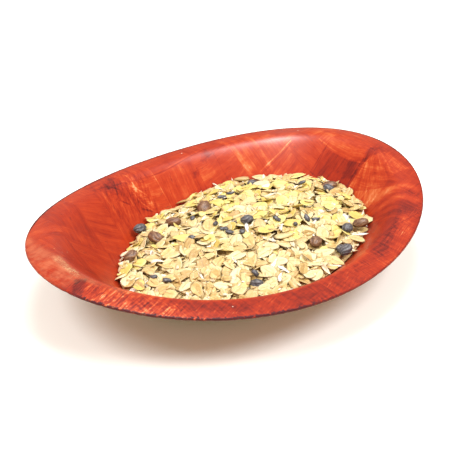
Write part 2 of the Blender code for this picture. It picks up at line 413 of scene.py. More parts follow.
veneer = {
    "stripsAlong": (-97, -79, -56, -38, -17, 4, 31, 55, 80, 93),  # where strips end, in millimetres along X
    "stripsAcross": (-68, -44, -9, 17, 38, 70),  # the same along Y
    "wander": 1.6,  # how far a seam strays from a straight line
    "tones": (
        (0.00, (74, 20, 20)),
        (0.22, (128, 34, 24)),
        (0.45, (168, 47, 23)),
        (0.65, (192, 64, 29)),
        (0.85, (214, 104, 54)),
        (1.00, (234, 158, 108)),
    ),
    "middleTone": 0.545,
    "shares": (0.12, 0.50, 0.42, 0.36, 0.30),  # what the strip, fibre, fine grain, mottle and cloud each add
    "edge": (58, 24, 34),
    "plum": (96, 24, 30),
    "underside": (96, 50, 32),
    "scuff": (226, 190, 140),
    "speck": (255, 236, 214),
    "dust": (214, 150, 112),  # the left end of the lip is dull
    "fanAt": (107, -8),  # the grain of one strip spreads from here
    "fanFineness": 14.0,
    "fanStrength": 0.85,
    "lipStrokes": (18, 1.7),  # which way they run in plan, in degrees, and how fine they are
    "crossStrokes": (87, 1.5),
    "bendDip": 3.6,  # how soft the light runs over the lip's bend
    "grainDepth": 0.22 * mm,
    "roughness": 0.40,
    "coat": 0.06,
    "polish": 0.55,
}

# places that differ from the rest: middle and size in plan, turn, how much lighter, how ragged and how soft
patches = {
    "darkSquare": ((86, 4), (13, 27), 0, -0.22, 0.4, 0.4),
    "squareBlotch": ((89, -5), (9, 6), 10, -0.13, 5.0, 1.0),
    "plumPatch": ((100, -13), (10, 7), -35, -0.20, 4.0, 1.0),
    "fan": ((87, -24), (30, 25), -8, 0.14, 2.0, 0.5),
    "fanShade": ((87, -10), (16, 2.5), -4, -0.20, 4.0, 0.6),
    "backShade": ((-32, 67), (46, 28), 8, -0.05, 7.0, 5.0),
    "backBlotch": ((-24, 74), (16, 9), 40, -0.11, 14.0, 1.5),
    "backBlotchTwo": ((-20, 67), (22, 7), -53, -0.06, 14.0, 1.5),
    "backGleam": ((-14, 74), (14, 7), -50, 0.14, 16.0, 1.5),
    "backPanel": ((18, 64), (44, 16), 0, 0.10, 0.5, 0.8),
    # painted light: the right part of the back wall is made lighter, below the lip's highlight
    "backWallLight": ((70, 44), (30, 24), -50, 0.09, 2.0, 3.0),
    "lightTear": ((-11, 66), (18, 2.0), -60, 0.20, 9.0, 0.9),
    "panelBlotch": ((40, 66), (7, 4), 30, -0.16, 8.0, 1.0),
    "panelBlotchTwo": ((29, 62), (4, 2.5), 0, -0.20, 5.0, 1.0),
    "lipDarkSpot": ((-107.6, -12.2), (5.6, 10.5), -44, -0.22, 1.6, 0.8),
    "wallShade": ((66, -54), (30, 18), -58, -0.20, 6.0, 4.0),
    # painted highlight: light bands on the right wall, with a darker painted gap between them
    "wallHighlight": ((80, -44), (24, 4.5), -56, 0.20, 4.0, 2.0),
    "wallHighlightGap": ((75, -48), (20, 3), -58, -0.14, 4.0, 1.5),
    "wallHighlightTwo": ((71, -51), (26, 4), -59, 0.22, 4.0, 2.0),
    "creaseShade": ((43, -67), (44, 8), 24, -0.17, 5.0, 3.0),
    "lipGlow": ((43, -77.5), (40, 8), 28, 0.14, 4.0, 2.0),
    "lowGleam": ((30, -64), (30, 5), 26, 0.10, 4.0, 3.0),
    "lipShade": ((-78, -53), (52, 6), -39, -0.12, 3.0, 2.0),
    "rightStrip": ((98, 6), (6, 46), 0, 0.08, 1.0, 0.8),
    "leftLip": ((-108, 20), (16, 56), -8, 0.04, 3.0, 3.0),
    "leftWall": ((-76, 10), (46, 70), -20, -0.05, 4.0, 8.0),
    "leftBand": ((-78, 44), (40, 5), -12, 0.12, 4.0, 2.5),
}

# places of the same kind that only say where the lip's grain is fine, and where there is grit or polish
zones = {
    "fineLip": ((-89, -46), (30, 18), -42, 0.0, 2.0, 1.0),
    "grit": ((-92, 12), (16, 34), -10, 0.0, 6.0, 4.0),
    "polished": ((82, 41), (22, 22), -50, 0.0, 4.0, 9.0),
}

# scratched places of the same kind, then which way the strokes run, how fine and how strong they are
scratches = {
    "back": (((-20, 69), (34, 28), 5, 0.0, 8.0, 4.0), 68, 0.50, 1.0),
    "leftLip": (((-98, -37), (18, 46), 32, 0.20, 8.0, 4.0), 16, 0.80, 2.4),
    "rightLip": (((105, -5), (14, 70), 0, 0.0, 8.0, 4.0), 80, 0.9, 0.6),
}

# lines where two strips meet: ends in plan, how much lighter, width in millimetres
seams = (
    ((-38, 73), (3, 71), -0.20, 0.45), ((3, 71), (44, 70), -0.24, 0.45),
    ((45, 67), (64, 61), -0.16, 0.40), ((4, 54), (4, 79), 0.20, 0.40),
    ((44, 50), (45, 72), -0.12, 0.40), ((58, 44), (55.5, 72), 0.16, 1.9),
    ((56.5, 44), (54, 72), 0.12, 0.45), ((67.5, 36), (69.5, 62), 0.16, 1.5),
    ((62, 41), (84, 37), 0.24, 0.50), ((62, 39.6), (84, 35.6), -0.14, 0.45),
    ((77, 15), (94, 17), -0.18, 0.45), ((80, -9), (80, 30), -0.10, 0.40),
    ((93, -14), (94, 24), 0.18, 0.50), ((78, -11), (91, -11), 0.14, 0.5),
    ((91, -11), (97, -15), 0.16, 0.5), ((97, -15), (103, -20), 0.14, 0.5),
    ((103, -20), (101, -33), 0.12, 0.5), ((94, 24), (112, 28), -0.12, 0.40),
    ((-60, 44), (-98, 49), 0.10, 0.50), ((-79, 10), (-80, 55), -0.05, 0.40),
    ((-38, 50), (-40, 80), -0.10, 0.40), ((-26.5, 72), (-22, 69), -0.34, 0.8),
    ((-24.8, 63.8), (-20.8, 62), -0.32, 0.7), ((-13, 65.6), (-15.5, 60), -0.30, 0.6),
    ((-14.8, 59.5), (-8.2, 57), -0.30, 0.6), ((-18.5, 81), (-25.6, 66), -0.24, 0.5),
    ((-14, 74), (-17.5, 65), -0.24, 0.5), ((-11, 79), (-11.6, 68.6), 0.20, 0.7),
    ((-11.6, 68.6), (-6.3, 63.4), 0.26, 0.6), ((-15, 67.8), (-12.4, 61.4), 0.26, 0.6),
    ((-12.4, 61.4), (-8, 57), 0.24, 0.6), ((-20.5, 70), (-18.5, 63), 0.20, 0.6),
    ((-17, 55), (-18, 84), -0.16, 0.40), ((-97, -16), (-97, -49), -0.24, 0.90),
    ((-95, -18), (-95.4, -49), 0.12, 0.50), ((-56, -72), (-56, -30), -0.10, 0.40),
    ((-17, -86), (-17, -40), -0.14, 0.40), ((20, -86), (22, -50), 0.16, 0.50),
    ((-60, -68), (60, -68), -0.12, 0.40), ((55, -80), (56, -40), -0.12, 0.40),
)


def turned(x, y, degrees):  # a place in plan, told along and across a line that runs this way
    turn = math.radians(degrees)
    return x * math.cos(turn) + y * math.sin(turn), y * math.cos(turn) - x * math.sin(turn)


def countPassed(value, ends):
    first, *others = (value.over(end) for end in ends)
    return sum(others, first)


class Veneer(Finish):  # the bowl's own material, whose lengths are in millimetres
    def __init__(self):
        super().__init__("redLacqueredVeneer")
        self.place = self.objectPlace()
        self.x, self.y, self.z = self.split(self.place)
        self.inset = self.attribute("inset")
        self.under = self.attribute("under").over(0.4)
        self.above = 1 - self.under
        self.mottle = self.noise(self.place, 0.16, 4.0, 0.65)
        self.rough = self.noise(self.place, 0.5, 3.0, 0.7) - 0.5
        angle = self.y.math("ARCTAN2", self.x)
        self.ways = angle.math("COSINE"), angle.math("SINE")
        self.front = self.facing(-0.34, -0.94)
        self.layStrips()
        self.toneStrips()
        self.markPlaces()
        self.drawSeams()
        self.scratch()
        self.spreadFan()
        self.brushLip()
        self.colour = self.ramp(self.tone + self.bright * 0.25, veneer["tones"])
        self.stain()
        self.sprinkle()
        self.darkenEdge()
        self.cover(self.under * 0.75, "underside")
        self.polish()

    def facing(self, wayX, wayY):  # 1 where the rim faces this way in plan, and -1 on the other side
        return self.ways[0] * wayX + self.ways[1] * wayY

    def within(self, patch):
        middle, size, degrees, _, ragged, soft = patch
        spread = turned(self.x - middle[0], self.y - middle[1], degrees)
        insideLong, insideWide = ((abs(away) + self.rough * ragged).smooth(side / 2 + soft, side / 2 - soft)
                                  for away, side in zip(spread, size))
        return insideLong * insideWide

    def cover(self, amount, name):
        self.colour = self.blend(amount, self.colour, veneer[name])

    def strokes(self, degrees, fineness):
        along, across = turned(self.x, self.y, degrees)
        return self.streaks(along * 0.10, across * fineness, 0.0, 3.0, 0.7)

    def layStrips(self):  # which strip this is, and which way its grain runs
        strayX = (self.noise(self.place, 0.035) - 0.5) * veneer["wander"] * 2
        strayY = (self.noise(self.point(self.y, self.x, self.z), 0.045) - 0.5) * veneer["wander"] * 2
        self.seamX = self.x + strayX * 0.5 + self.rough * 0.5
        self.seamY = self.y + strayY * 0.5
        cellX = countPassed(self.x + strayX, veneer["stripsAlong"])
        cellY = countPassed(self.y + strayY, veneer["stripsAcross"])
        cellPlace = self.point(cellX, cellY, self.under * 7 + 2)
        self.chance = self.node("TexWhiteNoise", {"noise_dimensions": "3D"}, {"Vector": cellPlace})
        chanceTwo, chanceThree, _ = self.split(self.chance.other("Color"))
        self.crossed = (cellX + cellY).math("MODULO", 2.0)
        self.along = self.x * (1 - self.crossed) + self.y * self.crossed
        across = self.y * (1 - self.crossed) + self.x * self.crossed
        across = across + self.along * ((chanceTwo - 0.5) * 0.34)
        curl = self.streaks(self.along * 0.03, across * 0.05, self.chance * 9)
        self.across = across + (curl - 0.5) * (2 + chanceThree * 4)

    def toneStrips(self):  # 0 is the darkest tone and 1 the lightest
        self.fibre = self.streaks(self.along * 0.03, self.across * 0.45, self.chance * 17, 3.0, 0.6)
        self.fine = self.streaks(self.along * 0.14, self.across * 2.6, self.chance * 5, 3.0, 0.7)
        cloud = self.noise(self.place, 0.035, 3.0, 0.6)
        self.tone = veneer["middleTone"]
        for part, share in zip((self.chance, self.fibre, self.fine, self.mottle, cloud), veneer["shares"]):
            self.tone = self.tone + (part - 0.5) * share

    def markPlaces(self):
        for patch in patches.values():
            lighter = patch[3]
            self.tone = self.tone + self.within(patch) * lighter * self.above

    def drawSeams(self):
        visible = (self.mottle * 2.2 - 0.45).clamp()
        for start, end, lighter, width in seams:
            length = math.dist(start, end)
            degrees = math.degrees(math.atan2(end[1] - start[1], end[0] - start[0]))
            along, away = turned(self.seamX - start[0], self.seamY - start[1], degrees)
            line = along.smooth(-1.0, 1.0) * along.smooth(length + 1.0, length - 1.0)
            line = line * abs(away).smooth(width, width * 0.25)
            self.tone = self.tone + line * visible * (lighter * 1.2)

    def scratch(self):
        for patch, degrees, fineness, strength in scratches.values():
            lighter = patch[3]
            stroke = (self.strokes(degrees, fineness) - 0.5) * (0.4 + self.mottle) + self.rough * 0.25
            self.tone = self.tone + (stroke * strength + lighter) * self.within(patch)

    def spreadFan(self):  # the grain of one strip spreads from a point
        fanX = self.x - veneer["fanAt"][0]
        fanY = self.y - veneer["fanAt"][1]
        turn = fanY.math("ARCTAN2", fanX) * veneer["fanFineness"]
        out = (fanX * fanX + fanY * fanY).math("SQRT") * 0.05
        stroke = self.streaks(turn, out, self.z * 0.02, 3.0, 0.7) - 0.5
        spread = stroke * self.within(patches["fan"]) * veneer["fanStrength"] * self.above
        self.tone = self.tone + spread

    def brushLip(self):  # the lip's front is brushed along or across
        onLip = self.inset.smooth(13.5, 11.5) * self.front.smooth(0.1, 0.6)
        along = self.strokes(*veneer["lipStrokes"])
        across = self.strokes(*veneer["crossStrokes"])
        slanted = (self.crossed + self.x.smooth(-95, -98)).clamp() * (1 - self.within(zones["fineLip"]))
        grain = (along - 0.5) * slanted + (across - 0.5) * (1 - slanted)
        grain = grain * (0.5 + self.mottle.smooth(0.36, 0.62) * 0.8) + self.rough * 0.35 - 0.15
        self.tone = self.tone + grain * onLip
        self.bright = along.smooth(0.60, 0.70) * slanted * onLip * self.mottle.smooth(0.42, 0.60)

    def stain(self):  # plum stains, the scuffed crease at the left and the dusty lip above it
        plum = self.streaks(self.along * 0.16, self.across * 0.5, self.z * 0.1, 4.0, 0.7).smooth(0.62, 0.70)
        self.cover(plum * 0.5, "plum")
        crease = self.inset.smooth(9.0, 11.5) * self.inset.smooth(16.0, 13.0) * self.x.smooth(-78, -88)
        leftmost = (self.y.smooth(-9, -3) * 0.85 + self.y.smooth(-40, -22) * 0.25).clamp()
        crease = crease * self.y.smooth(20, 13) * leftmost
        patchy = self.noise(self.place, 0.12) * 0.30 + self.noise(self.place, 1.6, 4.0, 0.8) * 0.70
        self.scuffed = crease * patchy.smooth(0.47, 0.55)
        self.cover(self.scuffed * 0.6, "scuff")
        dusty = self.within(patches["leftLip"]) * self.inset.smooth(15, 11) * self.above
        self.dusty = dusty * self.mottle.smooth(0.30, 0.66)
        self.cover(self.dusty * 0.30, "dust")

    def sprinkle(self):  # light specks all over, and grit at the left
        speck, rare = self.cells(self.place, 0.16, 0.07)
        self.cover(speck.smooth(0.075, 0.045) * rare, "speck")
        grit, strewn = self.cells(self.place, 0.42, 0.28)
        self.cover(self.within(zones["grit"]) * grit.smooth(0.16, 0.08) * strewn * 0.6, "scuff")

    def darkenEdge(self):  # the rim's edge is darker and ragged, widest at the left front
        left = self.facing(-0.83, -0.56)
        ragged = self.inset + self.rough * (0.6 + left.smooth(0.5, 0.9) * 6.5) - left.smooth(0.6, 0.9) * 0.35
        ragged = ragged - self.front.smooth(0.1, -0.3) * 0.7
        self.worn = ragged.smooth(0.85, 0.25) * (1 - self.y.smooth(-22, -8) * self.x.smooth(-84, -104) * 0.85)
        self.cover(self.worn * (0.9 - self.facing(0.50, -0.87).smooth(0.5, 0.9) * 0.5), "edge")

    def polish(self):
        height = (self.fibre - 0.5) * 0.35 + (self.fine - 0.5) * 0.3 + self.bright * 0.3
        height = height + self.chance * 0.12 + (self.mottle - 0.5) * 0.5
        dip = self.inset.smooth(4, 14) * self.inset.smooth(25, 14) * self.above
        bump = self.bump(height - dip * veneer["bendDip"], veneer["grainDepth"], 0.8)
        dull = (self.mottle - 0.5) * 0.25 + self.scuffed * 0.3 + self.bright * 0.15 + self.worn * 0.2
        coat = veneer["coat"] + self.within(zones["polished"]) * veneer["polish"]
        coat = (coat - self.scuffed * 0.1 - self.dusty * 0.1).clamp()
        self.set(BaseColor=self.colour, Normal=bump, Roughness=veneer["roughness"] + dull)
        self.set(CoatWeight=coat, CoatRoughness=0.38, SpecularIorLevel=0.12)


heapForm = {
    "crown": (0.035, -0.010, 0.0263),  # the top of the flakes where the heap is highest
    "fallLong": 1.5,  # metres of fall for each square metre of distance, along X and across
    "fallWide": 2.4,
    "dents": (  # place, reach and depth in millimetres
        (8, 54, 16, 2.0),
        (-40, 41, 12, 2.4),
        (-65, 17, 10, -0.9),
        (75, -16, 12, 1.0),
    ),
    "edge": 2.0 * mm,  # how thick the heap is where it ends on the wall
    "coreDepth": 2.5 * mm,  # the core lies this far under the top
    "gap": 0.45 * mm,
    "grid": 0.5 * mm,
    "reach": (0.096, 0.070),
    "seed": 7,
    "settling": 3,  # how often a piece finds its level anew
    "softness": 0.8 * mm,  # points this much under the highest one still help to carry a piece
    "steepest": 0.75,
    "fewestPoints": (6, 4),  # of the grid that a piece must cover, before and after it leans
    "overFruit": 0.08,  # the most of a piece that may lie over fruit
    "rest": 62,  # a piece lies on this percentile of what is under it
    "press": 0.35 * mm,
    "stacking": 0.6,  # how much of a piece's thickness the next one feels
    "proud": 2.1 * mm,  # the most that a piece may stand over the heap's top
    "looks": 7,  # places that are compared for each piece
    "lowest": 0.1 * mm,  # a piece is left out where the heap is this close to its top
    "crumbLooks": 5,
    "crumbLowest": -1.5 * mm,
    "farReach": 20 * mm,
    "tries": 3300,
    "fruitAfter": 700,
    "crumbs": 260,
    "grow": ((0.80, 1.14), (0.80, 1.14), (0.85, 1.2)),  # how much length, width and thickness vary
    "sizes": (0.58, 0.78, 0.96, 1.06, 1.13, 1.20),
    "steepShare": 0.24,  # the share of pieces that lean more, and how much more
    "steepLean": 2.3,
}


def heapTop(x, y):
    crownX, crownY, crownZ = heapForm["crown"]
    top = crownZ - heapForm["fallLong"] * (x - crownX) ** 2 - heapForm["fallWide"] * (y - crownY) ** 2
    for dentX, dentY, reach, depth in heapForm["dents"]:
        top = top - depth * mm * np.exp(-((x / mm - dentX) ** 2 + (y / mm - dentY) ** 2) / reach ** 2)
    return top


def bowlTop(x, y):  # the bowl's upper face over any places, closed in on by halving
    form = bowlForm
    low = np.zeros_like(x)
    high = np.full_like(x, form["halfWidth"] - form["wall"])
    for _ in range(halvings):
        inset = (low + high) / 2
        inside = (x / (form["halfLength"] - inset)) ** 2 + (y / (form["halfWidth"] - inset)) ** 2 < 1
        low = np.where(inside, inset, low)
        high = np.where(inside, high, inset)
    angle = np.arctan2(y / (form["halfWidth"] - inset), x / (form["halfLength"] - inset))
    return profileHeight(angle, inset)


class Pile:  # the height of all that lies in the bowl, on a grid seen from above
    def __init__(self):
        self.step = heapForm["grid"]
        reachX, reachY = heapForm["reach"]
        self.xs = np.arange(-reachX, reachX, self.step)
        self.ys = np.arange(-reachY, reachY, self.step)
        x, y = np.meshgrid(self.xs, self.ys, indexing="ij")
        self.bowl = bowlTop(x, y) + heapForm["gap"]
        self.goal = heapTop(x, y)
        self.top = np.maximum(self.bowl, self.goal - heapForm["coreDepth"])
        self.inHeap = self.goal - self.bowl > heapForm["edge"]
        self.shown = np.zeros_like(self.top, dtype=bool)  # fruit that nothing may cover

    def window(self, x, y, reach):
        i = int(round((x - self.xs[0]) / self.step))
        j = int(round((y - self.ys[0]) / self.step))
        n = int(reach / self.step) + 2
        return slice(max(i - n, 0), i + n + 1), slice(max(j - n, 0), j + n + 1)

    def around(self, x, y, spot):  # how far each grid point of a window is from the place
        return np.meshgrid(self.xs[spot[0]] - x, self.ys[spot[1]] - y, indexing="ij")

    def lack(self, x, y, reach):  # how far the pile still is under its goal here
        spot = self.window(x, y, reach)
        return float((self.goal[spot] - self.top[spot]).mean())

    def layDown(self, x, y, size, turn, lean):
        # rests a flat oval piece on what lies there, and returns its middle and its three axes
        form = heapForm
        length, width, thick, drop = size
        spot = self.window(x, y, max(length, width) / 2)
        awayX, awayY = self.around(x, y, spot)
        heights = self.top[spot]
        slopes = np.zeros(2)
        for _ in range(form["settling"]):
            _, _, inside = self.pose(awayX, awayY, slopes, turn, length, width)
            if inside.sum() < form["fewestPoints"][0]:
                return None
            table = np.stack([awayX[inside], awayY[inside], np.ones(inside.sum())], 1)
            under = heights[inside]
            rest = under - table @ np.append(slopes, 0)
            weight = np.exp((rest - rest.max()) / form["softness"])
            fit = np.linalg.lstsq(table * weight[:, None], under * weight, rcond=None)[0]
            slopes = np.clip(fit[:2], -form["steepest"], form["steepest"])
        axes, level, inside = self.pose(awayX, awayY, slopes + np.array(lean), turn, length, width)
        covered = (inside & self.shown[spot]).sum()
        if inside.sum() < form["fewestPoints"][1] or covered > inside.sum() * form["overFruit"]:
            return None
        base = float(np.percentile((heights - level)[inside], form["rest"])) - form["press"]
        base = max(base, float((self.bowl[spot] - level)[inside].max()))
        laid = base + level + (thick + drop) * form["stacking"]
        if (laid - self.goal[spot])[inside].max() > form["proud"]:
            return None
        self.top[spot] = np.where(inside, np.maximum(heights, laid), heights)
        return Vector((x, y, base)) + axes[2] * drop, axes

    def pose(self, awayX, awayY, slopes, turn, length, width):
        # the axes of a piece that slopes so, its height over the window, and the grid points under it
        normal = Vector((-slopes[0], -slopes[1], 1)).normalized()
        lengthwise = Vector((math.cos(turn), math.sin(turn), 0))
        lengthwise = (lengthwise - normal * lengthwise.dot(normal)).normalized()
        axes = lengthwise, normal.cross(lengthwise), normal
        level = slopes[0] * awayX + slopes[1] * awayY
        along, across = (awayX * axis.x + awayY * axis.y + level * axis.z for axis in axes[:2])
        return axes, level, (along * 2 / length) ** 2 + (across * 2 / width) ** 2 < 1

    def raiseRound(self, x, y, reach, crown):  # a round thing that stands up to crown
        spot = self.window(x, y, reach)
        awayX, awayY = self.around(x, y, spot)
        share = (awayX ** 2 + awayY ** 2) / reach ** 2
        dome = crown - reach * 0.7 * (1 - np.sqrt(np.clip(1 - share, 0, 1)))
        self.top[spot] = np.where(share < 1, np.maximum(self.top[spot], dome), self.top[spot])
        self.shown[spot] |= share < 1.1


# sizes in millimetres; far says how much a kind seeks the side away from the viewer
flake = {"sides": 12, "crease": 0.0, "fold": 0.6, "split": 0.0, "tilt": 0.28, "far": 0.0}
kinds = {
    "oatFlakes": flake | {
        "length": 9.2, "width": 6.8, "thick": 0.60, "uneven": 0.12, "crease": 0.34, "cup": 0.70,
        "point": 0.14, "split": 0.30, "share": 38, "shapes": 14,
        "tones": ((0, (206, 172, 110)), (0.3, (222, 194, 130)), (0.6, (232, 209, 148)), (1, (239, 222, 172))),
        "pale": (247, 235, 200), "deep": (190, 150, 90), "floury": 0.50,
    },
    "wheatFlakes": flake | {
        "length": 9.2, "width": 5.4, "thick": 0.75, "uneven": 0.12, "crease": 0.48, "cup": 0.60,
        "fold": 0.7, "point": 0.20, "split": 0.20, "share": 30, "shapes": 12, "far": -0.003,
        "tones": ((0, (192, 154, 90)), (0.35, (214, 179, 108)), (0.7, (226, 196, 126)), (1, (236, 210, 148))),
        "pale": (245, 227, 180), "deep": (168, 126, 72), "floury": 0.40,
    },
    "yellowFlakes": flake | {
        "length": 9.4, "width": 7.6, "thick": 0.50, "uneven": 0.18, "crease": 0.05, "cup": 1.10,
        "point": 0.10, "split": 0.30, "share": 20, "shapes": 10, "tilt": 0.24, "far": 0.009,
        "tones": ((0, (228, 198, 104)), (0.5, (238, 214, 118)), (1, (244, 224, 140))),
        "pale": (250, 236, 168), "deep": (212, 174, 84), "floury": 0.20,
    },
    "palePeelings": flake | {
        "length": 7.4, "width": 2.0, "thick": 0.50, "sides": 10, "uneven": 0.16, "crease": 0.10, "cup": 0.9,
        "fold": 0.3, "point": 0.20, "share": 9, "shapes": 8, "tilt": 0.30,
        "tones": ((0, (232, 208, 164)), (0.5, (250, 238, 214)), (1, (255, 252, 242))),
        "pale": (255, 252, 244), "deep": (210, 180, 134), "floury": 0.40,
    },
    "kernels": flake | {
        "length": 9.4, "width": 5.4, "thick": 2.2, "uneven": 0.015, "cup": 0.1,
        "fold": 0.0, "point": 0.30, "share": 3, "shapes": 4, "tilt": 0.14,
        "tones": ((0, (198, 166, 108)), (0.5, (216, 190, 130)), (1, (230, 210, 156))),
        "pale": (234, 214, 164), "deep": (184, 152, 96), "floury": 0.10,
    },
    "crumbs": flake | {
        "length": 2.8, "width": 1.8, "thick": 0.8, "sides": 6, "uneven": 0.22, "cup": 0.2,
        "fold": 0.1, "point": 0.1, "share": 0, "shapes": 6, "tilt": 0.3,
        "tones": ((0, (196, 154, 96)), (0.5, (234, 206, 148)), (1, (254, 246, 222))),
        "pale": (250, 234, 196), "deep": (196, 154, 96), "floury": 0.30,
    },
}


def flakeShape(name, kind, rng):
    # an uneven oval with a raised face, a creased middle and a thin edge, flat at the origin
    halfLong = kind["length"] / 2 * mm
    halfWide = kind["width"] / 2 * mm
    thick = kind["thick"] * mm
    sides = kind["sides"]
    lobes = []
    for wave in (2, 3, 4, 5):
        size = kind["uneven"] * rng.uniform(0.3, 1.0) / (wave - 1)
        lobes.append((wave, size, rng.uniform(0, fullTurn)))
    cup = kind["cup"] * mm * rng.uniform(-1.0, 1.0)
    bend = kind["cup"] * mm * rng.uniform(-0.7, 0.7)
    twist = kind["cup"] * mm * rng.uniform(-0.8, 0.8)
    fold = kind["fold"] * mm * rng.uniform(-0.6, 1.0)
    notch = rng.randrange(sides) if rng.random() < kind["split"] * 2 else None
    mesh = bmesh.new()
    placeLayer = mesh.verts.layers.float_vector.new("place")

    def addPoint(angle, reach, face):
        uneven = 1 + sum(size * math.cos(wave * angle + start) for wave, size, start in lobes)
        uneven *= 1 - kind["point"] * math.cos(angle) * abs(math.sin(angle))
        along = reach * uneven * math.cos(angle)
        across = reach * uneven * math.sin(angle) * (1 - kind["point"] * math.cos(angle))
        middle = cup * (along ** 2 + across ** 2) + bend * along ** 2
        middle += twist * along * across + fold * abs(across)
        belly = thick / 2 * (1 - reach ** 3 * 0.75)
        groove = kind["crease"] * mm * math.exp(-(across / 0.16) ** 2) * (1 - abs(along)) if face > 0 else 0
        vert = mesh.verts.new((along * halfLong, across * halfWide, middle + face * belly - groove))
        vert[placeLayer] = (along, across, reach * face if face else 1.0)
        return vert

    def addRing(reaches, face):
        return [addPoint(fullTurn * index / sides, reach, face) for index, reach in enumerate(reaches)]

    # the rings lie at these shares of the flake's radius, and are drawn in at the notch
    whole = range(sides)
    rimReach = [0.80 if index == notch else 1 + rng.uniform(-1, 1) * kind["uneven"] * 0.5 for index in whole]
    rim = addRing(rimReach, 0)
    outer = addRing([0.70 if index == notch else 0.82 for index in whole], 1)
    inner = addRing([0.42] * sides, 1)
    under = addRing([0.70] * sides, -1)
    bridge(mesh, rim, outer)
    bridge(mesh, outer, inner)
    bridge(mesh, under, rim)
    closeRing(mesh, inner, addPoint(0, 0, 1))
    closeRing(mesh, under[::-1], addPoint(0, 0, -1))
    data = bpy.data.meshes.new(name)
    mesh.to_mesh(data)
    mesh.free()
    data.shade_smooth()
    return data, -min(vert.co.z for vert in data.vertices)


def makeShapes(name, kind, rng):  # a collection of shapes, and how deep each reaches under its own level
    library = bpy.data.collections.new(name + "Shapes")
    drops = []
    for index in range(kind["shapes"]):
        label = f"{name}Shape{index:02d}"
        data, drop = flakeShape(label, kind, rng)
        library.objects.link(bpy.data.objects.new(label, data))
        drops.append(drop)
    return library, drops


def layingTree():
    # places one of the shapes at every point, turned and grown as the point says, and makes them one mesh
    tree = bpy.data.node_groups.new("layThePieces", "GeometryNodeTree")
    kindsOfInput = ("Geometry", "Collection", "Material", "Float", "Int")
    for name, kind in zip(("Geometry", "Shapes", "Finish", "Size", "Tone Seed"), kindsOfInput):
        tree.interface.new_socket(name, in_out="INPUT", socket_type="NodeSocket" + kind)
    tree.interface.new_socket("Geometry", in_out="OUTPUT", socket_type="NodeSocketGeometry")

    def add(kind, settings=None, sockets=None):
        node = tree.nodes.new(kind)
        for name, value in (settings or {}).items():
            setattr(node, name, value)
        for name, value in (sockets or {}).items():
            if isinstance(value, bpy.types.NodeSocket):
                tree.links.new(value, node.inputs[name])
            else:
                node.inputs[name].default_value = value
        return [socket for socket in node.outputs if socket.enabled]

    def named(name, kind):
        return add("GeometryNodeInputNamedAttribute", {"data_type": kind}, {"Name": name})[0]

    points, shapes, finish, size, toneSeed = add("NodeGroupInput")[:5]
    chance = add("FunctionNodeRandomValue", {"data_type": "FLOAT"}, {"Seed": toneSeed})[0]
    toned = add("GeometryNodeStoreNamedAttribute", {"data_type": "FLOAT", "domain": "POINT"},
                {"Geometry": points, "Name": "tone", "Value": chance})[0]
    choice = add("GeometryNodeCollectionInfo", None,
                 {"Collection": shapes, "Separate Children": True, "Reset Children": True})[0]
    turned = add("FunctionNodeEulerToRotation", None, {0: named("turn", "FLOAT_VECTOR")})[0]
    grow = named("grow", "FLOAT_VECTOR")
    grown = add("ShaderNodeVectorMath", {"operation": "SCALE"}, {0: grow, "Scale": size})[0]
    laid = add("GeometryNodeInstanceOnPoints", None, {
        "Points": toned,
        "Instance": choice,
        "Pick Instance": True,
        "Instance Index": named("pick", "INT"),
        "Rotation": turned,
        "Scale": grown,
    })[0]
    real = add("GeometryNodeRealizeInstances", None, {"Geometry": laid})[0]
    done = add("GeometryNodeSetMaterial", None, {"Geometry": real, "Material": finish})[0]
    add("NodeGroupOutput", None, {"Geometry": done})
    return tree


def realize(name, tree, spots, library, finish, toneSeed):
    points = bpy.data.meshes.new(name + "Points")
    points.from_pydata([spot["at"] for spot in spots], [], [])
    for label, kind in (("turn", "FLOAT_VECTOR"), ("grow", "FLOAT_VECTOR"), ("pick", "INT")):
        layer = points.attributes.new(label, kind, "POINT")
        for entry, spot in zip(layer.data, spots):
            setattr(entry, "value" if kind == "INT" else "vector", spot[label])
    holder = addObject(name + "Points", points)
    modifier = holder.modifiers.new("layThePieces", "NODES")
    modifier.node_group = tree
    values = {"Shapes": library, "Finish": finish, "Size": 1.0, "Tone Seed": toneSeed}
    for item in tree.interface.items_tree:
        if item.in_out == "INPUT" and item.name in values:
            modifier[item.identifier] = values[item.name]
    bpy.context.view_layer.update()
    graph = bpy.context.evaluated_depsgraph_get()
    mesh = bpy.data.meshes.new_from_object(holder.evaluated_get(graph))
    mesh.name = name
    holder.modifiers.remove(modifier)
    bpy.data.objects.remove(holder)
    return addObject(name, mesh)


# sizes in millimetres; stand is the way over the flakes, and a third value of a spot sinks that one deeper
fruit = {
    "raisins": {
        "size": (10.6, 7.8, 5.6), "rounds": 4, "folds": 0.20, "jag": 0.0, "stand": 3.7,
        "spots": ((6, 30), (-14, 33), (-29, 30), (19, -41), (49, -46), (-47, 29), (73, -3, 0.8)),
        # deep is painted shade in the folds, ridge a painted highlight on the ridges
        "deep": (104, 68, 46), "ridge": (168, 122, 82), "dust": (196, 160, 120),
    },
    "currants": {
        "size": (8.2, 6.2, 5.0), "rounds": 4, "folds": 0.20, "jag": 0.0, "stand": 3.7,
        "spots": ((-27, 46), (8, -2), (42, -43), (25, -53), (24, -57, 0.4), (70, -6, 1), (47, 33, 1.6),
                  (-24, -41, 1.9)),
        # deep is painted shade in the folds, ridge a painted highlight on the ridges
        "deep": (66, 62, 66), "ridge": (128, 124, 126), "dust": (166, 162, 162),
    },
    "darkBits": {
        "size": (5.8, 3.4, 2.3), "rounds": 2, "folds": 0.30, "jag": 0.22, "stand": 2.5,
        "spots": ((20, 30), (26, 29.5), (-7, 25), (-21, 10), (-6.5, -3.5), (-2, -8.5), (-6, 1), (19, -13),
                  (34, -28), (31, -24), (-54, 2), (-52, -6), (-21, -37), (62, 8), (22, -24), (-5, 9)),
    },
}


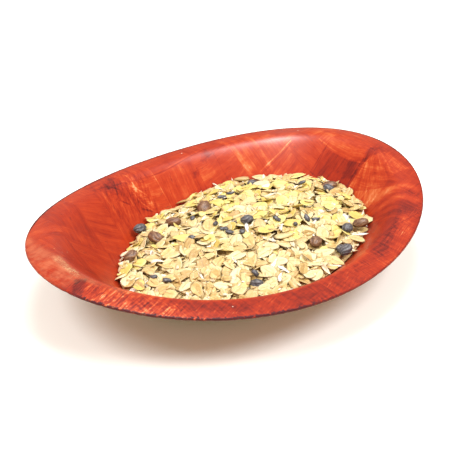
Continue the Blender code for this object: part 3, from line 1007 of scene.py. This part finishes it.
def fruitShape(kind, grow, rng):
    # a shrivelled oval: folds run along it, deeper where two meet
    mesh = bmesh.new()
    bmesh.ops.create_icosphere(mesh, subdivisions=kind["rounds"], radius=0.5)
    ridgeLayer = mesh.verts.layers.float.new("ridge")
    folds = [(rng.choice((4, 6, 8)), rng.uniform(-1.0, 1.0), rng.uniform(0, fullTurn)) for _ in range(4)]
    lean = rng.uniform(0, fullTurn)
    depth = kind["folds"]
    length, width, height = (side * grow for side in kind["size"])
    for vert in mesh.verts:
        spot = vert.co * 2
        around = math.atan2(spot.z, spot.y)
        fold = 0.0
        for wave, drift, start in folds:
            wander = math.sin(3 * spot.x + lean)
            fold += 1 - abs(math.sin(wave * around * 0.5 + drift * 2 * spot.x + start + wander))
        fold /= len(folds)
        vert[ridgeLayer] = fold
        swell = (1 - depth * 0.5 + depth * (fold - 0.4)) * (1 + rng.uniform(-kind["jag"], kind["jag"]))
        vert.co = Vector((spot.x * length, spot.y * width, spot.z * height)) * (0.5 * mm * swell)
    return mesh


def buildFruit(name, finish, pile, rng):
    kind = fruit[name]
    whole = bmesh.new()
    whole.verts.layers.float.new("ridge")
    for x, y, *sunk in kind["spots"]:
        grow = rng.uniform(0.9, 1.1)
        one = fruitShape(kind, grow, rng)
        x *= mm
        y *= mm
        half = kind["size"][2] / 2 * mm * grow
        reach = kind["size"][1] / 2 * mm * grow
        spot = pile.window(x, y, reach)
        crown = float(pile.goal[spot].mean()) + (kind["stand"] - sum(sunk)) * mm
        level = max(crown - half, float(pile.bowl[spot].max()) + half * 0.75)
        turn = Matrix.Rotation(rng.uniform(0, fullTurn), 4, "Z")
        turn = turn @ Matrix.Rotation(rng.uniform(-0.4, 0.4), 4, "Y")
        bmesh.ops.transform(one, matrix=Matrix.Translation((x, y, level)) @ turn, verts=one.verts)
        data = bpy.data.meshes.new("one")
        one.to_mesh(data)
        one.free()
        whole.from_mesh(data)
        bpy.data.meshes.remove(data)
        pile.raiseRound(x, y, reach, level + half)
    return addPiece(name, whole, finish)


coreForm = {
    "middle": (0.008, -0.002),
    "around": 96,
    "farthest": 0.11,
    "topRows": 26,
    "sideRows": 8,
    "edgeDepth": 0.75,  # how much of its depth under the flakes the core keeps where its edge is sought
    "edgeRise": 0.22,  # how much of it is lost towards the edge
    "uneven": 0.35,
    "seed": 31,
}


def buildCore(finish, pile):
    # the plain body of the heap, which only shows in the gaps between the flakes
    form = coreForm
    depth = heapForm["coreDepth"]
    gap = heapForm["gap"]
    mesh = bmesh.new()
    rng = random.Random(form["seed"])
    middle = Vector(form["middle"])
    rings = []
    edges = []

    def bowlUnder(spot):
        return float(bowlTop(np.array([spot.x]), np.array([spot.y]))[0])

    for index in range(form["around"]):
        angle = fullTurn * index / form["around"]
        way = Vector((math.cos(angle), math.sin(angle)))
        low, high = 0.0, form["farthest"]
        for _ in range(halvings):
            reach = (low + high) / 2
            spot = middle + way * reach
            thick = heapTop(spot.x, spot.y) - depth * form["edgeDepth"] - bowlUnder(spot)
            low, high = (reach, high) if thick > gap * 2 else (low, reach)
        edges.append(way * reach)
    for row in range(1, form["topRows"] + 1):
        share = row / form["topRows"]
        ring = []
        for edge in edges:
            spot = middle + edge * share
            uneven = rng.uniform(-form["uneven"], form["uneven"]) * mm * (share < 1)
            height = heapTop(spot.x, spot.y) - depth * (1 - form["edgeRise"] * share ** 6) + uneven
            ring.append(mesh.verts.new((spot.x, spot.y, height)))
        rings.append(ring)
    for row in range(form["sideRows"]):
        share = 1 - (row + 0.15) / form["sideRows"]
        places = [middle + edge * share for edge in edges]
        rings.append([mesh.verts.new((spot.x, spot.y, bowlUnder(spot) + gap * 1.4)) for spot in places])
    crown = mesh.verts.new((middle.x, middle.y, heapTop(middle.x, middle.y) - depth))
    foot = mesh.verts.new((middle.x, middle.y, bowlForm["wall"] + gap * 1.4))
    closeRing(mesh, rings[0], crown)
    closeRing(mesh, rings[-1][::-1], foot)
    for inner, outer in zip(rings, rings[1:]):
        bridge(mesh, inner, outer)
    bmesh.ops.recalc_face_normals(mesh, faces=mesh.faces)
    return addPiece("heapCore", mesh, finish)


def layHeap(pile, rng, libraries, fruitFinishes):
    spots = {name: [] for name in kinds}
    shares = [kind["share"] for kind in kinds.values()]
    places = np.argwhere(pile.inHeap)
    pieces = []

    def lay(name, looks, lowest):
        kind = kinds[name]
        grow = Vector([rng.uniform(*span) for span in heapForm["grow"]])
        if name != "crumbs":
            shared = rng.choice(heapForm["sizes"])
            grow = Vector((grow.x * shared, grow.y * shared, grow.z))
        pick = rng.randrange(kind["shapes"])
        best = None
        for _ in range(looks):
            i, j = places[rng.randrange(len(places))]
            x = float(pile.xs[i])
            y = float(pile.ys[j])
            lack = pile.lack(x, y, kind["width"] / 2 * mm)
            worth = lack + kind["far"] * min(x + y, heapForm["farReach"])
            if lack > lowest and (best is None or worth > best[0]):
                best = (worth, x, y)
        if best is None:
            return
        _, x, y = best
        size = [kind[side] * mm * share for side, share in zip(("length", "width", "thick"), grow)]
        size.append(libraries[name][1][pick] * grow.z)
        steep = heapForm["steepLean"] if rng.random() < heapForm["steepShare"] else 1.0
        lean = [rng.gauss(0, kind["tilt"]) * steep for _ in range(2)]
        rest = pile.layDown(x, y, size, rng.uniform(0, fullTurn), lean)
        if rest is not None:
            at, axes = rest
            spin = Matrix(axes).transposed().to_euler()
            spots[name].append({"at": at, "turn": spin, "grow": grow, "pick": pick})

    for index in range(heapForm["tries"]):
        if index == heapForm["fruitAfter"]:
            pieces.append(buildFruit("raisins", fruitFinishes["raisins"], pile, rng))
            pieces.append(buildFruit("currants", fruitFinishes["currants"], pile, rng))
        lay(rng.choices(list(kinds), shares)[0], heapForm["looks"], heapForm["lowest"])
    pieces.append(buildFruit("darkBits", fruitFinishes["currants"], pile, rng))
    for _ in range(heapForm["crumbs"]):
        lay("crumbs", heapForm["crumbLooks"], heapForm["crumbLowest"])
    print("pieces laid:", {name: len(found) for name, found in spots.items()})
    return spots, pieces


def makeFlakeFinish(name, kind):
    finish = Finish(name)
    tone = finish.attribute("tone")
    along, across, reach = finish.split(finish.attribute("place", "Vector"))
    fibre = finish.streaks(along * 1.3, across * 6.5, tone * 40, 3.0, 0.6)
    mottle = finish.streaks(along * 1.8, across * 1.8, tone * 90)
    colour = finish.ramp(tone + (fibre - 0.5) * 0.9 + (mottle - 0.5) * 0.7, kind["tones"])
    creased = abs(across).smooth(0.16, 0.02) * (1 - abs(along)).clamp() * reach.over(0.0)
    colour = finish.blend(creased * 0.7, colour, kind["deep"])
    floury = finish.streaks(along * 2.4, across * 3.2, tone * 70, 3.0, 0.7).smooth(0.54, 0.66)
    colour = finish.blend(floury * kind["floury"], colour, kind["pale"])
    worn = (abs(reach) + (mottle - 0.5) * 0.8).smooth(0.70, 1.05) * (tone * 1.6).clamp()
    colour = finish.blend(worn * 0.55, colour, kind["pale"])
    bump = finish.bump(fibre * 0.6 + mottle * 0.4, 0.18 * mm, 0.7)
    finish.set(BaseColor=colour, Roughness=0.62 + (fibre - 0.5) * 0.3, Normal=bump)
    return finish.material


def makeFruitFinish(name, kind):
    finish = Finish(name)
    grain = finish.noise(finish.objectPlace(), 1.2, 4.0, 0.65)
    fold = finish.attribute("ridge") * 0.8
    # painted shade and highlight: the colour runs from deep in the folds to ridge on the ridges
    colour = finish.ramp(fold + (grain - 0.5) * 0.7, ((0.15, kind["deep"]), (0.75, kind["ridge"])))
    colour = finish.blend(grain.smooth(0.56, 0.70) * 0.6, colour, kind["dust"])
    bump = finish.bump(grain, 0.3 * mm, 0.8)
    finish.set(BaseColor=colour, Roughness=0.5 + (grain - 0.5) * 0.4, Normal=bump)
    return finish.material


def makeCoreFinish():
    finish = Finish("muesliDust")
    grain = finish.noise(finish.objectPlace(), 0.8, 4.0, 0.7)
    colour = finish.ramp(grain, ((0.3, (206, 168, 112)), (0.7, (240, 210, 152))))
    finish.set(BaseColor=colour, Roughness=0.85, Normal=finish.bump(grain, 0.6 * mm))
    return finish.material


studio = {
    "floor": (0.92, 0.92, 0.92, 1.0),
    "glow": (0.126, 0.090, 0.038, 1.0),  # what a bright room throws back into the shadow
    "sky": 0.61,
    "skyColour": (1.0, 0.92, 0.80, 1.0),
    "lamps": (  # right, away and up of the bowl in metres, size, watts, and whether it is only mirrored
        {"name": "leftBox", "at": (-0.68, -0.50, 1.15), "size": 0.6, "power": 12, "mirrored": False},
        {"name": "rightBox", "at": (0.68, -0.50, 1.15), "size": 0.6, "power": 15.5, "mirrored": False},
        {"name": "overheadBox", "at": (0.0, 0.10, 1.30), "size": 0.5, "power": 6, "mirrored": False},
        {"name": "shineBox", "at": (0.04, 0.17, 1.10), "size": 0.26, "power": 23, "mirrored": True},
    ),
}


def addFloor():
    finish = Finish("paleFloor")
    fleck = finish.noise(finish.objectPlace(), 0.004)
    finish.set(BaseColor=studio["floor"], Roughness=0.8 + (fleck - 0.5) * 0.1)
    finish.set(EmissionColor=studio["glow"], EmissionStrength=1.0)
    mesh = bmesh.new()
    bmesh.ops.create_grid(mesh, x_segments=8, y_segments=8, size=4.0)
    addPiece("paleFloor", mesh, finish.material)


def addLight(right, back):
    world = bpy.data.worlds.new("softSky")
    world.use_nodes = True
    sky = world.node_tree.nodes["Background"]
    sky.inputs["Color"].default_value = studio["skyColour"]
    sky.inputs["Strength"].default_value = studio["sky"]
    bpy.context.scene.world = world
    away = -Vector((back.x, back.y, 0)).normalized()
    for lamp in studio["lamps"]:
        data = bpy.data.lights.new(lamp["name"], "AREA")
        data.shape = "DISK"
        data.size = lamp["size"]
        data.energy = lamp["power"]
        item = addObject(lamp["name"], data)
        item.location = right * lamp["at"][0] + away * lamp["at"][1] + Vector((0, 0, lamp["at"][2]))
        item.rotation_euler = item.location.to_track_quat("Z", "Y").to_euler()
        item.visible_glossy = lamp["mirrored"]
        item.visible_diffuse = not lamp["mirrored"]


addFloor()
addLight(*addCamera(cameraSettings))
bpy.context.scene.view_settings.view_transform = "Standard"
print("camera and light are set")

bowl = buildBowl(Veneer().material)
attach(bowl, "root")
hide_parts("bowl")
print("bowl pressed:", len(bowl.data.polygons), "faces")

rng = random.Random(heapForm["seed"])
pile = Pile()
libraries = {name: makeShapes(name, kind, rng) for name, kind in kinds.items()}
fruitFinishes = {
    "raisins": makeFruitFinish("raisinSkin", fruit["raisins"]),
    "currants": makeFruitFinish("currantSkin", fruit["currants"]),
}
core = buildCore(makeCoreFinish(), pile)
spots, pieces = layHeap(pile, rng, libraries, fruitFinishes)
tree = layingTree()
firstToneSeed = 3
for toneSeed, (name, (library, _)) in enumerate(libraries.items(), firstToneSeed):
    piece = realize(name, tree, spots[name], library, makeFlakeFinish(name, kinds[name]), toneSeed)
    pieces.append(piece)
    print(name, len(spots[name]), "pieces,", len(piece.data.polygons), "faces")
for library, _ in libraries.values():
    for item in list(library.objects):
        bpy.data.objects.remove(item)
    bpy.data.collections.remove(library)
for piece in [core] + pieces:
    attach(piece, "root")
    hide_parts("muesli")
print("muesli is in the bowl")
